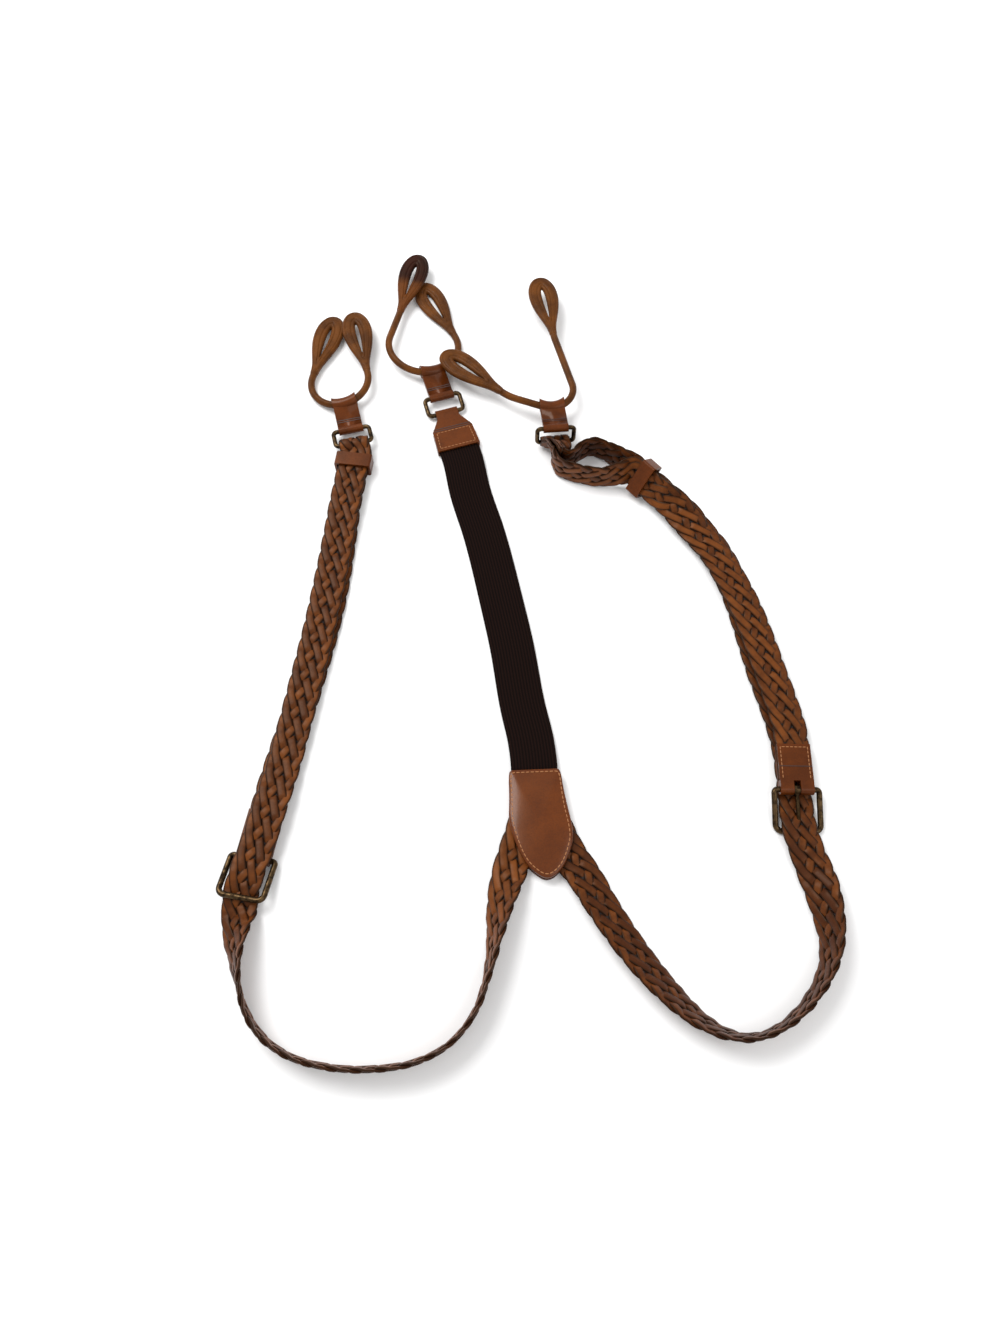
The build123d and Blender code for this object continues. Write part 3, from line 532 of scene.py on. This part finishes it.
def stitch_row(name, line, spacing, size, body, node, closed=False, placing=None):
    """Short threads evenly along a line: each a six-sided bead of five rings, thickest in
    its middle, that stands a little proud of the leather."""
    line = np.asarray(line, float)
    if closed:
        line = np.vstack([line, line[:1]])
    run = np.concatenate([[0], np.cumsum(np.linalg.norm(np.diff(line, axis=0), axis=1))])
    count = max(2, int(run[-1] / spacing))
    mid = (np.arange(count) + 0.5) * run[-1] / count
    at = lambda d: np.stack([np.interp(d, run, line[:, k]) for k in range(3)], -1)
    up = np.array([0, 0, 1.0])
    ahead = unit(at(mid + 0.3) - at(mid - 0.3))
    side = np.cross(up, ahead)
    along = np.array([-0.5, -0.4, 0.0, 0.4, 0.5])[:, None, None]
    fat = size * np.array([0.35, 0.8, 1.0, 0.8, 0.35])[:, None, None]
    turn = np.linspace(0, 2 * math.pi, 6, endpoint=False)[:, None]
    verts = at(mid)[:, None, None] + ahead[:, None, None] * along * spacing * 0.78
    verts = verts + side[:, None, None] * np.cos(turn) * fat + up * np.sin(turn) * 0.8 * fat
    quads = grid_faces(5, 6)
    faces = (quads + np.arange(count)[:, None, None] * 30).reshape(-1, 4).tolist()
    ends = np.array([[5, 4, 3, 2, 1, 0], [24, 25, 26, 27, 28, 29]])
    faces += (ends + np.arange(count)[:, None, None] * 30).reshape(-1, 6).tolist()
    verts = verts.reshape(-1, 3)
    obj = add_mesh(name, placed(verts, *placing) if placing else verts, faces, [THREAD])
    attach(obj, body)
    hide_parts(node)


yoke_plate("yoke_back", 0.0, 0.0, 1.9, 0.0, SMOOTH)
yoke_plate("yoke_filler", 0.9, 1.9, 5.7, 0.0, SMOOTH)
yoke_plate("yoke_front", 0.0, 5.7, 8.4, 2.2, YOKE_COVER)
yoke_seam = yoke_edge(2.3)
stitch_row("yoke_stitches", np.column_stack([yoke_seam, np.full(len(yoke_seam), 8.95)]),
           3.1, 0.42, "straps", "yoke_stitching", closed=True)


# --- Back elastic and its end tab: a near-black brown band, ribbed along its length, sewn into
# the yoke and into a leather tab that folds round the back ring.
BACK_RING, BACK_HEADING = (-59.9, 165.2, 3.3), 107.0
ELASTIC_HALF, ELASTIC_SKIN, ACROSS = 15.5, 0.9, 32


def ribbed_elastic():
    """Fifteen ribs across and 330 weft rows along, from the band's own UV."""
    finish = Finish("dark_elastic", Roughness=0.85, Specular_IOR_Level=0.06)
    uv = finish.base.node("ShaderNodeUVMap", uv_map="UVMap")
    across, along = (uv.node("ShaderNodeSeparateXYZ", k, {0: uv}) for k in (0, 1))
    rib = (across * (2 * math.pi * 15)).math("SINE") * 0.5 + 0.5
    weft = (along * (2 * math.pi * 330)).math("SINE") * 0.5 + 0.5
    cloth = rib * 0.7 + weft * rib * 0.5
    finish.wire(Base_Color=cloth.mix(srgb(9, 4, 3), srgb(27, 13, 9)),
                Normal=cloth.bump(0.7, 0.0005))
    return finish.material


def elastic():
    """A closed sleeve of two flat skins along the band's middle line."""
    ends = [from_point(BACK_RING, BACK_HEADING, u, 0, 3.3, 0) for u in (-43.7, -35.7, -15.7)]
    band = Band([
        (4.6, -146, YOKE_Z, 0), (4.8, -127, YOKE_Z, 0), (3, -108, 2.3, 0), (-2.5, -81, 1, 0),
        (-10, -34, 1, 0), (-17, 0, 1, 0), (-30, 57, 1, 0), (-40.5, 93, 1, 0)] + ends)
    s = np.linspace(0, band.length, 220)
    across = np.linspace(-ELASTIC_HALF, ELASTIC_HALF, ACROSS)
    v = np.concatenate([across, across[::-1]])
    h = np.repeat([-ELASTIC_SKIN, ELASTIC_SKIN], ACROSS)
    verts = band.at(s[:, None], v[None, :], h[None, :]).reshape(-1, 3)
    uv = np.stack(np.broadcast_arrays((v / 31 + 0.5)[None, :], (s / band.length)[:, None]), -1)
    obj = add_mesh("elastic_band", verts, grid_faces(220, 2 * ACROSS), [ribbed_elastic()],
                   uv=uv.reshape(-1, 2))
    obj.data.set_sharp_from_angle(angle=math.radians(50))
    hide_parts("back_elastic")
    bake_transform(obj)


def dressed(node, name, finish, body, angle=40.0, grow=0.0):
    """A copy of a CAD node's mesh, welded, smoothed and grown by some millimetres."""
    source = bpy.data.objects[node]
    mesh = source.data.copy()
    mesh.transform(source.matrix_world)
    turned_out(mesh, 2e-6, grow * MM)
    mesh.materials.clear()
    mesh.materials.append(finish)
    mesh.polygons.foreach_set("material_index", np.zeros(len(mesh.polygons), np.int32))
    mesh.shade_smooth()
    mesh.set_sharp_from_angle(angle=math.radians(angle))
    obj = bpy.data.objects.new(name, mesh)
    bpy.context.collection.objects.link(obj)
    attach(obj, body)
    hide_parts(node)


CREASE = plain("pressed_crease", srgb(44, 18, 8), 0.5)


def crease(name, rows, wide, lift, body, placing, node=None):
    """Dark pressed lines across a leather piece, at these distances along it: thin bars."""
    corners = np.array([(x, d, z) for x in (-wide / 2, wide / 2) for d in (-0.28, 0.28)
                        for z in (-0.1, 0.2)])
    verts = np.array([(0, y, lift) for y in rows])[:, None] + corners
    quads = np.array([(0, 1, 3, 2), (4, 6, 7, 5), (0, 4, 5, 1), (2, 3, 7, 6), (0, 2, 6, 4),
                      (1, 5, 7, 3)])
    faces = (quads + np.arange(len(rows))[:, None, None] * 8).reshape(-1, 4)
    obj = add_mesh(name, placed(verts.reshape(-1, 3), *placing), faces, [CREASE], smooth=False)
    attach(obj, body)
    if node:
        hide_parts(node)


elastic()
dressed("back_end_tab", "end_tab_leather", SMOOTH, "back_end")
crease("end_tab_creases", (-15.6, -17.4), 29.5, 2.82, "back_end", (BACK_RING, BACK_HEADING))
stitch_row("end_tab_stitches",
           [(-12.9, -19, 2.85), (-13.9, -33.4, 2.85), (13.9, -33.4, 2.85), (12.9, -19, 2.85)],
           2.8, 0.36, "back_end", "back_end_tab_stitching", closed=True,
           placing=(BACK_RING, BACK_HEADING))


# --- Buckles, chapes and keepers: a bent wire frame and prong of rubbed dark brass on each
# strap, held by a sewn leather chape, with a loose leather band that keeps the strap's runs
# together. The left buckle lies face down.
def rubbed_brass(name, bright, dull):
    """Dark metal with dull blots where the finish has worn."""
    finish = Finish(name, Metallic=1.0)
    blot = finish.place().noise(260.0, 4.0, 0.65).ramp(0.38, 0.66)
    finish.wire(Base_Color=blot.mix(bright, dull), Roughness=blot * 0.2 + 0.32)
    return finish.material


BRASS = rubbed_brass("antique_brass", srgb(84, 66, 44), srgb(30, 22, 16))
CHAPE_SEAM = [(-9, 6.5, 3.55), (-9, 28.3, 3.55), (9, 28.3, 3.55), (9, 6.5, 3.55)]
LEFT_HEEL, RIGHT_HEEL = ((-176.0, -187.0, 3.8), 79.5, 0, 180), ((176.5, -142.5, 7.5), 89.0)
for side, heel in (("left", LEFT_HEEL), ("right", RIGHT_HEEL)):
    dressed(side + "_chape", side + "_chape_leather", SMOOTH, "straps")
    dressed(side + "_keeper", side + "_keeper_band", SMOOTH, side + "_keeper")
    dressed(side + "_buckle_frame", side + "_buckle_wire", BRASS, side + "_buckle",
            60, 0.4)
    dressed(side + "_buckle_prong", side + "_prong_pin", BRASS, side + "_prong",
            50)
    stitch_row(side + "_chape_stitches", CHAPE_SEAM, 2.8, 0.36, "straps",
               side + "_chape_stitching", placing=heel)
crease("right_chape_crease", (15.0,), 21.6, 3.52, "straps", RIGHT_HEEL)


# --- Rings, runners, cords and buttonhole tabs: a wire ring on each strap end carries a folded
# leather runner. A rolled leather cord lies in a U through it, and ends in two padded leaf
# tabs, each with a long slit for a trouser button. One back tab is dark oxblood.
CORD_R, TAB_LONG = 2.75, 62
ROLLED = leather("rolled_leather", srgb(98, 55, 18), srgb(66, 34, 9), 0.38, 0.05, 0.3, 60.0)
OXBLOOD = leather("dark_red_leather", srgb(44, 12, 5), srgb(26, 6, 3), 0.34, 0.05, 0.25, 50.0,
                  neck=srgb(94, 50, 16))


def half_route(side, moves):
    """One half of a cord's route, from the runner to a tab: straight lines and arcs, each in
    short steps; a step's chord points half its own turn past the heading before it."""
    chords, turns = [], []
    for size, turn in moves:
        steps = max(3, int(abs(turn) / 4)) if turn else max(2, int(size / 1.5))
        part = turn / steps
        chord = 2 * size * math.sin(math.radians(abs(part) / 2)) if turn else size / steps
        chords += [chord] * steps
        turns += [part] * steps
    turns = np.array(turns, float)
    heading = np.radians(np.cumsum(turns) - turns / 2)
    x = np.concatenate([[0], np.cumsum(chords * np.cos(heading))])
    y = np.concatenate([[0], np.cumsum(chords * np.sin(heading))])
    angle = turns.sum()
    end = (side * x[-1], y[-1], angle if side > 0 else 180 - angle)
    return np.column_stack([side * x, y]), end


def tube(points, radius, sides, seam=0.0):
    """A round tube along points, with a groove pressed along it for the seam."""
    ahead = unit(np.gradient(points, axis=0))
    side = unit(np.cross(ahead, np.array([0, 0, 1.0])))
    up = np.cross(side, ahead)
    turn = np.linspace(0, 2 * math.pi, sides, endpoint=False)
    groove = 1 - seam * np.exp(-((turn - 0.9) ** 2) / 0.05)
    ring = side[:, None] * (np.cos(turn) * groove)[None, :, None]
    ring = ring + up[:, None] * (np.sin(turn) * groove)[None, :, None]
    verts = (points[:, None] + ring * np.asarray(radius).reshape(-1, 1, 1)).reshape(-1, 3)
    faces = grid_faces(len(points), sides).tolist()
    last = (len(points) - 1) * sides
    faces += [list(range(sides))[::-1], [last + i for i in range(sides)]]
    return verts, faces


def soft_outline(right_x, right_y, count):
    """A closed outline from its right half: mirrored, corners cut three times over, and
    shared out into evenly spaced points."""
    right = np.column_stack([right_x, right_y])
    line = np.vstack([right, (right * (-1, 1))[::-1][1:]])
    if right_x[0] > 0:
        line = np.vstack([(line[0] + line[-1]) / 2, line])
    for _ in range(3):
        ahead = np.roll(line, -1, axis=0)
        line = np.stack([line * 0.75 + ahead * 0.25, line * 0.25 + ahead * 0.75], 1).reshape(-1, 2)
    loop = np.vstack([line, line[:1]])
    run = np.concatenate([[0], np.cumsum(np.linalg.norm(np.diff(loop, axis=0), axis=1))])
    want = np.arange(count) / count * run[-1]
    return np.stack([np.interp(want, run, loop[:, k]) for k in range(2)], -1)


def tab_shape():
    """A padded tab, narrow end at the origin: rings run from its leaf outline in to the slit,
    and the thickness is a rounded rim with two pressed lines; a tapering neck joins the cord."""
    count = 140
    outer = soft_outline(np.array([2.9, 3.1, 4.1, 6.4, 9.1, 11.1, 12, 11.6, 9.9, 7.2, 4.2, 0]),
                         np.array([0, 4, 10, 17, 25, 33, 41, 48, 54, 58.5, 61, 62]), count)
    slit = soft_outline(np.array([0, 0.4, 0.75, 1.15, 1.4, 1.3, 0.8, 0]),
                        np.array([19, 21, 25, 31, 38, 44, 48, 50]), count)
    r = np.concatenate([[0, 0.01, 0.03, 0.06, 0.1], np.linspace(0.14, 0.86, 26),
                        [0.9, 0.94, 0.97, 0.99, 1]])
    rim = np.sqrt(np.clip(1 - (1 - np.clip(r / 0.2, 0, 1)) ** 2, 0, 1))
    rim = rim * np.sqrt(np.clip(1 - (1 - np.clip((1 - r) / 0.2, 0, 1)) ** 2, 0, 1))
    press = 0.45 * np.exp(-(((r - 0.24) / 0.035) ** 2)) + 0.55 * np.exp(-(((r - 0.66) / 0.05) ** 2))
    half = rim * (2.1 + 0.35 * np.sin(math.pi * r)) - press * rim
    flat = outer[:, None] * (1 - r)[None, :, None] + slit[:, None] * r[None, :, None]
    top = np.dstack([flat, np.broadcast_to(half, flat.shape[:2])])
    low = np.dstack([flat, np.broadcast_to(-half, flat.shape[:2])])[:, ::-1][:, 1:-1]
    rings = np.concatenate([top, low], axis=1)
    faces = grid_faces(count, rings.shape[1], True)[:, ::-1].tolist()
    neck_y = np.linspace(-0.2, 13, 16)
    line = np.stack([0 * neck_y, neck_y, 0 * neck_y], -1)
    fat = CORD_R - 0.9 * np.clip((neck_y - 3) / 10, 0, 1) ** 1.5
    neck, neck_faces = tube(line, fat, 16)
    start = count * rings.shape[1]
    faces += [[start + i for i in face] for face in neck_faces]
    return np.vstack([rings.reshape(-1, 3), neck]), faces


TAB = tab_shape()


def cord_set(side, ring, heading, ring_pitch, runner_pitch, roll, left, right, lift, finishes):
    """The cord, its two tabs, and the pressed lines on the runner that holds it."""
    ahead, up = heading_vector(heading), np.array([0, 0, 1.0])
    rise, fall = math.radians(ring_pitch), math.radians(runner_pitch)
    bar = np.array(ring) + (ahead * math.cos(rise) + up * math.sin(rise)) * 14.5
    low = bar + (ahead * math.cos(fall) + up * math.sin(fall)) * 25.5
    (left_half, left_end), (right_half, right_end) = half_route(-1, left), half_route(1, right)
    route = np.vstack([left_half[::-1], right_half[1:]])
    flat = np.column_stack([route, np.zeros(len(route))])
    verts, faces = tube(placed(flat, low, heading, 0, roll), CORD_R, 24, 0.1)
    rope = add_mesh(side + "_rolled_cord", verts, faces, [ROLLED])
    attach(rope, side + "_cord")
    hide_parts(side + "_cord", side + "_cord_core")
    ends = (("a", left_end, lift), ("b", right_end, 0.0))
    for (letter, end, pitch), finish in zip(ends, finishes):
        spot = placed([[end[0], end[1], 0]], low, heading, 0, roll)[0]
        verts, faces = TAB
        node = side + "_tab_" + letter
        tab = add_mesh(node + "_leather", placed(verts, spot, heading - 90 + end[2], pitch), faces,
                       [finish], along=verts[:, 1] / TAB_LONG)
        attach(tab, side + "_cord")
        "dark_red_leather" if finish == OXBLOOD else "rolled_leather"
        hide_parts(node)
    crease(side + "_runner_creases", (6.6, 8.4), 18.6, 1.85, side + "_runner",
           (bar, heading, runner_pitch), side + "_runner_stitching")


def pitch_to_flat(height):
    """The ring's pitch that brings its far side down to the height of a lying cord."""
    return math.degrees(math.asin((6.3 - height) / 14.5))


for side in ("left", "right", "back"):
    dressed(side + "_ring", side + "_ring_wire", BRASS, side + "_ring", 60, 0.45)
    dressed(side + "_runner", side + "_runner_leather", SMOOTH, side + "_runner")
# Each half of a route is a list of (radius and turn) arcs and (length and 0) straight lines.
cord_set("left", (-130, 133, 7.4), 104, pitch_to_flat(7.4), 0, -6.5,
         [(23, 117), (2, 0)], [(23, 90), (2, 0)], 0, (ROLLED, ROLLED))
cord_set("right", (24.5, 136.5, 5.33), 94.4, 84, -15, 0,
         [(18, 24.5), (21, 0), (40, 19)], [(18, 101), (47, 0), (40, -5)], 0, (ROLLED, ROLLED))
cord_set("back", BACK_RING, BACK_HEADING, pitch_to_flat(3.3), 0, 7,
         [(28, 121), (27, 0)], [(28, 101), (1, 0)], 3, (OXBLOOD, ROLLED))


# --- Floor, light and camera: a pale floor, a broad soft light from above and the left with a
# weaker one opposite, and a camera that looks down at 66 degrees from the near side.
floor_mesh = bpy.data.meshes.new("floor")
floor_mesh.from_pydata([(-4, -4, 0), (4, -4, 0), (4, 4, 0), (-4, 4, 0)], [], [(0, 1, 2, 3)])
floor_mesh.materials.append(plain("floor", (0.9, 0.9, 0.9), 0.9))
floor = bpy.data.objects.new("floor", floor_mesh)
floor.location.z = -0.0001
bpy.context.collection.objects.link(floor)
world = bpy.data.worlds.new("world")
world.use_nodes = True
sky = world.node_tree.nodes["Background"]
sky.inputs["Color"].default_value = (1, 1, 1, 1)
sky.inputs["Strength"].default_value = 0.75
bpy.context.scene.world = world
for name, spot, power, wide in (("key", (-0.9, 0.7, 1.6), 34.0, 1.1),
                                ("fill", (1.1, -0.6, 1.5), 10.0, 1.4)):
    light = bpy.data.lights.new(name, "AREA")
    light.energy, light.size = power, wide
    lamp = bpy.data.objects.new(name, light)
    lamp.location = spot
    lamp.rotation_euler = (-Vector(spot)).to_track_quat("-Z", "Y").to_euler()
    bpy.context.collection.objects.link(lamp)
lens = bpy.data.cameras.new("camera")
lens.lens, lens.sensor_width = 27.11, 36.0
camera = bpy.data.objects.new("camera", lens)
camera.location = (-0.0179, -0.3381, 0.640)
camera.rotation_euler = (math.radians(24), 0, 0)
bpy.context.collection.objects.link(camera)
bpy.context.scene.camera = camera
bpy.context.scene.view_settings.view_transform = "Standard"
